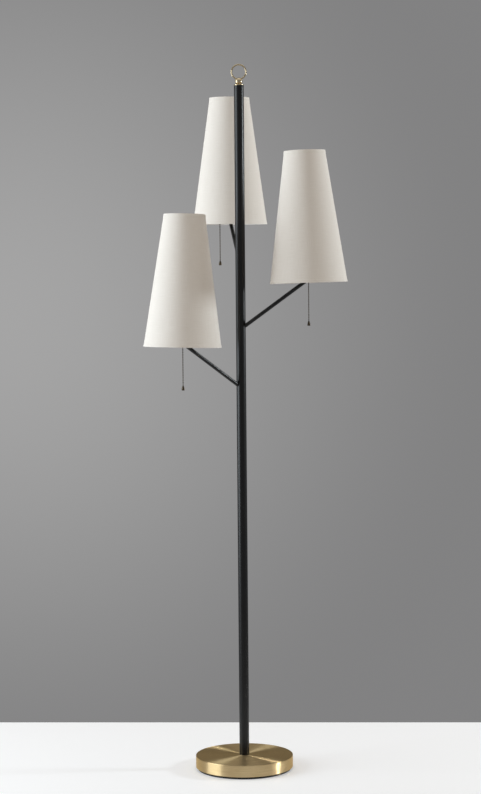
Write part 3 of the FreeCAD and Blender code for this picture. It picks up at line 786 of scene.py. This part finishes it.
def makeBulb(name, h):
    b = bulb
    place = headPlace(h)
    bm = bmesh.new()
    addTurned(bm, bulbOutline(0) + bulbOutline(b["wall"])[::-1], b["sides"])
    settle(finishMesh(f"bulb_globe_{name}", bm, place), "bulb_glass", "lamp", f"bulb_glass_{name}")
    foot = b["capBottom"] + b["capTaper"]
    neckTop = b["capBottom"] + b["capLength"]
    pitch = (neckTop - foot) / b["threads"]
    valley = b["capRadius"] - b["threadDepth"]
    outline = [(0, b["capBottom"]), (b["contactRadius"], b["capBottom"]), (valley, foot)]
    for k in range(b["threads"]):
        outline.append((b["capRadius"], foot + pitch * (k + 0.5)))
        outline.append((valley, foot + pitch * (k + 1)))
    outline.append((0, neckTop))
    cap = turnedPiece(f"bulb_thread_{name}", outline, b["sides"], place, closed=False, round=b["capRound"])
    settle(cap, "bulb_cap", "lamp", f"bulb_cap_{name}")
    holder = turnedPiece(f"holder_{name}", [
        (0, b["holderBottom"]), (holderRadius, b["holderBottom"]), (holderRadius, b["holderTop"]),
        (b["holderBore"], b["holderTop"]), (b["holderBore"], b["holderFloor"]), (0, b["holderFloor"]),
    ], b["sides"], place, closed=False, round=b["holderRound"])
    settle(holder, "black_plastic", "lamp", f"lampholder_{name}")


pull = {
    "barrelRise": 50.0, "barrelRadius": 4.5, "barrelHeight": 17.0, "barrelWall": 1.3, "mouth": 2.1,
    "neck": 3.0, "collarRadius": 2.7, "collarHeight": 3.0, "stem": 1.5, "gap": 0.2, "reach": 3.0,
    "beadRadius": 1.55, "linkRadius": 0.5, "beadPitch": 4.1, "chainGap": 0.5,
    "barrelSides": 32, "neckSides": 24, "stemSides": 24, "bellSides": 32, "neckGap": 0.3, "round": 0.5,
    "bellDrop": 107.0, "bellLength": 12.0, "bellRadius": 3.9, "bellTip": 1.3, "bellHollow": 1.5,
    # shares of a radius and of the bell's length, upwards from its mouth
    "bellShape": ((0.62, 0), (0.82, 0), (1, 0.12), (0.93, 0.3), (0.85, 0.5), (0.66, 0.72)),
    "tipShape": ((1.6, 0.85), (1, 0.9), (1, 1), (0, 1)),
}


def makePull(name, h):
    p = pull
    onAxis = headPlace(h) @ Vector((0, 0, p["barrelRise"] * mm))
    sideways = Matrix.Rotation(math.radians(h["chainAzimuth"]), 4, "Z")
    centre = onAxis + sideways @ Vector((h["chainOffset"] * mm, 0, 0))
    place = Matrix.Translation(centre) @ sideways
    half = p["barrelHeight"] / 2
    ceiling = half - p["barrelWall"]
    bore = p["barrelRadius"] - p["barrelWall"]
    bm = bmesh.new()
    barrel = [(0, half), (p["barrelRadius"], half), (p["barrelRadius"], -half), (p["mouth"], -half),
              (p["mouth"], -ceiling), (bore, -ceiling), (bore, ceiling), (0, ceiling)]
    addTurned(bm, softened(barrel, p["round"], False), p["barrelSides"], False)
    neckRun = [Vector((-(p["barrelRadius"] - p["barrelWall"] / 2), 0, 0)) * mm,
               Vector((-(h["chainOffset"] - holderRadius - p["neckGap"]), 0, 0)) * mm]
    addWire(bm, neckRun, Vector((0, 1, 0)), p["neck"] * mm, p["neckSides"])
    settle(finishMesh(f"switch_barrel_{name}", bm, place), "black_metal", "lamp", f"chain_guide_{name}")

    top = ceiling - p["gap"]
    bottom = -half - p["reach"]
    plunger = turnedPiece(f"plunger_{name}", [
        (0, bottom), (p["stem"], bottom), (p["stem"], top - p["collarHeight"]),
        (p["collarRadius"], top - p["collarHeight"]), (p["collarRadius"], top), (0, top),
    ], p["stemSides"], place, closed=False)
    settle(plunger, "aged_brass", f"plunger_{name}", f"pull_plunger_{name}")

    bellEnd = h["rim"] - p["bellDrop"] - centre.z / mm
    bellTop = bellEnd + p["bellLength"]
    chainStart = bottom - p["chainGap"] - p["beadRadius"]
    length = chainStart - bellTop
    count = round(length / p["beadPitch"]) + 1
    chain = bpy.data.objects.new(f"ball_chain_{name}", bpy.data.meshes.new(f"ball_chain_{name}"))
    bpy.context.scene.collection.objects.link(chain)
    grown(chain, ballChain, {
        "Count": count, "Start": (0.0, 0.0, chainStart * mm), "Pitch": length / (count - 1) * mm,
        "Bead Radius": p["beadRadius"] * mm, "Link Radius": p["linkRadius"] * mm,
        "Finish": finishes["aged_brass"],
    })
    chain.data.transform(place)
    settle(chain, "aged_brass", f"chain_{name}", f"pull_chain_{name}")

    outline = [(0, bellEnd + p["bellHollow"])]
    for radius, shape in ((p["bellRadius"], p["bellShape"]), (p["bellTip"], p["tipShape"])):
        outline += [(radius * across, bellEnd + p["bellLength"] * along) for across, along in shape]
    bell = turnedPiece(f"bell_{name}", outline, p["bellSides"], place, closed=False, round=p["round"])
    settle(bell, "aged_brass", f"chain_{name}", f"pull_bell_{name}")


for name, h in heads.items():
    makeArm(name, h)
    makeShade(name, h)
    makeFrame(name, h)
    makeSocket(name, h)
    makeRetainer(name, h)
    makeBulb(name, h)
    makePull(name, h)
print("heads made:", len(heads))


studio = {
    # the wall's two colours with the glow's centre and reach paint a pool of light on the wall, bright in the
    # middle and dimmer outwards
    "wallY": 0.535, "wallTurn": -2.2, "wallReach": 4.0, "wallLitColor": (0.376, 0.374, 0.374),
    "wallDimEdgeColor": (0.222, 0.221, 0.223), "glowCentre": (-0.68, 1.16), "glowReach": 1.45,
    "floorColor": (0.74, 0.765, 0.80), "floorGlow": 0.26, "floorReach": 8.0, "floorMirrorReach": (0.3, 1.2),
    "roomColor": (0.36, 0.30, 0.24), "roomSeen": (0.30, 0.30, 0.30), "roomMirrored": (0.28, 0.28, 0.28),
}
softboxes = {
    "left": {"at": (-2.53, -0.58, 1.40), "aim": (0, 0, 1.1), "size": (1.9, 2.4), "power": 66.0,
             "color": (0.87, 0.95, 1.0)},
    "right": {"at": (2.97, 0.08, 1.62), "aim": (0, 0, 1.2), "size": (0.35, 0.5), "power": 40.0,
              "color": (0.9, 0.97, 1.0)},
    "above": {"at": (0, 0.6, 3.2), "aim": (0, 0, 0), "size": (3.2, 3.2), "power": 27.0,
              "color": (1.0, 1.0, 1.0)},
    "glint": {"at": (2.9, 0.05, 1.45), "aim": (0, 0, 0.03), "size": (0.14, 0.14), "power": 0.26,
              "color": (1.0, 0.97, 0.9), "spread": 14.0, "mirroredOnly": True},
}


def addStage(name, corners, material):
    mesh = bpy.data.meshes.new(name)
    mesh.from_pydata(corners, [], [range(len(corners))])
    mesh.materials.append(material)
    panel = bpy.data.objects.new(name, mesh)
    bpy.context.scene.collection.objects.link(panel)


# The far floor is dark where it is mirrored, as the black paint shows
def floorMaterial():
    material, tree, shader, coordinates = startMaterial("studioFloor", {
        "Roughness": 0.5, "Specular IOR Level": 0.3, "Base Color": (*studio["floorColor"], 1),
        "Emission Strength": studio["floorGlow"],
    })
    mirrored = addNode(tree, "ShaderNodeLightPath").outputs["Is Glossy Ray"]
    tree.links.new(seenRays(tree), shader.inputs["Emission Color"])
    near, far = studio["floorMirrorReach"]
    away = addNode(tree, "ShaderNodeVectorMath", {0: coordinates.outputs["Object"]}, operation="LENGTH")
    share = addNode(tree, "ShaderNodeMapRange", {
        "Value": away.outputs["Value"], "From Min": near, "From Max": far})
    dark = addNode(tree, "ShaderNodeEmission", {"Color": (*studio["roomMirrored"], 1)})
    both = addNode(tree, "ShaderNodeMixShader", {
        0: calc(tree, share.outputs[0], "MULTIPLY", mirrored), 1: shader.outputs[0], 2: dark.outputs[0],
    })
    tree.links.new(both.outputs[0], tree.nodes["Material Output"].inputs["Surface"])
    return material


# The wall is seen from the front and in reflections only, and never lights or shades the lamp
def wallMaterial():
    s = studio
    material = bpy.data.materials.new("studioWall")
    material.use_nodes = True
    tree = material.node_tree
    tree.nodes.clear()
    coordinates = addNode(tree, "ShaderNodeTexCoord")
    parts = addNode(tree, "ShaderNodeSeparateXYZ", {0: coordinates.outputs["Object"]})
    # painted pool of light: the wall is brightest round its glow centre and darker towards its edges
    dx = calc(tree, parts.outputs[0], "SUBTRACT", s["glowCentre"][0])
    dz = calc(tree, parts.outputs[2], "SUBTRACT", s["glowCentre"][1])
    squares = calc(tree, calc(tree, dx, "MULTIPLY", dx), "ADD", calc(tree, dz, "MULTIPLY", dz))
    share = calc(tree, calc(tree, squares, "SQRT", 0.0), "DIVIDE", s["glowReach"])
    ramp = colorRamp(tree, share, (s["wallLitColor"], s["wallDimEdgeColor"]))
    ramp.color_ramp.interpolation = "EASE"
    glow = addNode(tree, "ShaderNodeEmission", {"Color": ramp.outputs["Color"]})
    clear = addNode(tree, "ShaderNodeBsdfTransparent")
    front = calc(tree, 1.0, "SUBTRACT", addNode(tree, "ShaderNodeNewGeometry").outputs["Backfacing"])
    shown = calc(tree, seenRays(tree), "MULTIPLY", front)
    both = addNode(tree, "ShaderNodeMixShader", {0: shown, 1: clear.outputs[0], 2: glow.outputs[0]})
    out = addNode(tree, "ShaderNodeOutputMaterial")
    tree.links.new(both.outputs[0], out.inputs["Surface"])
    return material


def addLamp(name, setting):
    data = bpy.data.lights.new(name, "AREA")
    data.shape = "RECTANGLE"
    data.size, data.size_y = setting["size"]
    data.energy = setting["power"]
    data.color = setting["color"]
    data.spread = math.radians(setting.get("spread", 180.0))
    lamp = bpy.data.objects.new(name, data)
    lamp.visible_diffuse = not setting.get("mirroredOnly", False)
    bpy.context.scene.collection.objects.link(lamp)
    lamp.location = setting["at"]
    lamp.rotation_euler = (Vector(setting["aim"]) - lamp.location).to_track_quat("-Z", "Y").to_euler()


# The room lights the lamp evenly and warmly, but is dark where it is mirrored
def makeRoom():
    s = studio
    world = bpy.data.worlds.new("studioWorld")
    bpy.context.scene.world = world
    world.use_nodes = True
    tree = world.node_tree
    path = addNode(tree, "ShaderNodeLightPath").outputs
    color = addNode(tree, "ShaderNodeMix", {"Factor": path["Is Camera Ray"]}, data_type="RGBA")
    color.inputs["A"].default_value = (*s["roomColor"], 1)
    color.inputs["B"].default_value = (*s["roomSeen"], 1)
    mirrored = addNode(tree, "ShaderNodeMix", {"Factor": path["Is Glossy Ray"]}, data_type="RGBA")
    tree.links.new(color.outputs["Result"], mirrored.inputs["A"])
    mirrored.inputs["B"].default_value = (*s["roomMirrored"], 1)
    tree.links.new(mirrored.outputs["Result"], tree.nodes["Background"].inputs["Color"])


def makeStudio():
    s = studio
    reach, far = s["floorReach"], s["wallReach"]
    floorCorners = [(-reach, -reach, 0), (reach, -reach, 0), (reach, reach, 0), (-reach, reach, 0)]
    addStage("studioFloor", floorCorners, floorMaterial())
    left, right = (s["wallY"] + side * far * math.tan(math.radians(s["wallTurn"])) for side in (-1, 1))
    wallCorners = [(-far, left, 0), (far, right, 0), (far, right, far), (-far, left, far)]
    addStage("studioWall", wallCorners, wallMaterial())
    makeRoom()
    for name, setting in softboxes.items():
        addLamp(f"{name}Softbox", setting)
    bpy.context.scene.view_settings.view_transform = "Standard"


# Fitted to the pole's line, the base's ellipse and the shades' rims in the photograph
view = {
    "imageHeight": 794, "focalPixels": 2033.6, "sensor": 36.0, "distance": 5.1804, "height": 1.2695,
    "pitch": 0.0599, "roll": -0.0085, "offsetPixels": 0.92,
}


def makeCamera():
    data = bpy.data.cameras.new("camera")
    data.sensor_width = view["sensor"]
    data.lens = view["focalPixels"] / view["imageHeight"] * view["sensor"]
    data.shift_x = -view["offsetPixels"] / view["imageHeight"]
    camera = bpy.data.objects.new("camera", data)
    bpy.context.scene.collection.objects.link(camera)
    tilt = Matrix.Rotation(math.pi / 2 - view["pitch"], 4, "X") @ Matrix.Rotation(view["roll"], 4, "Z")
    camera.matrix_world = Matrix.Translation((0, -view["distance"], view["height"])) @ tilt
    bpy.context.scene.camera = camera


makeStudio()
makeCamera()
print("studio and camera made")
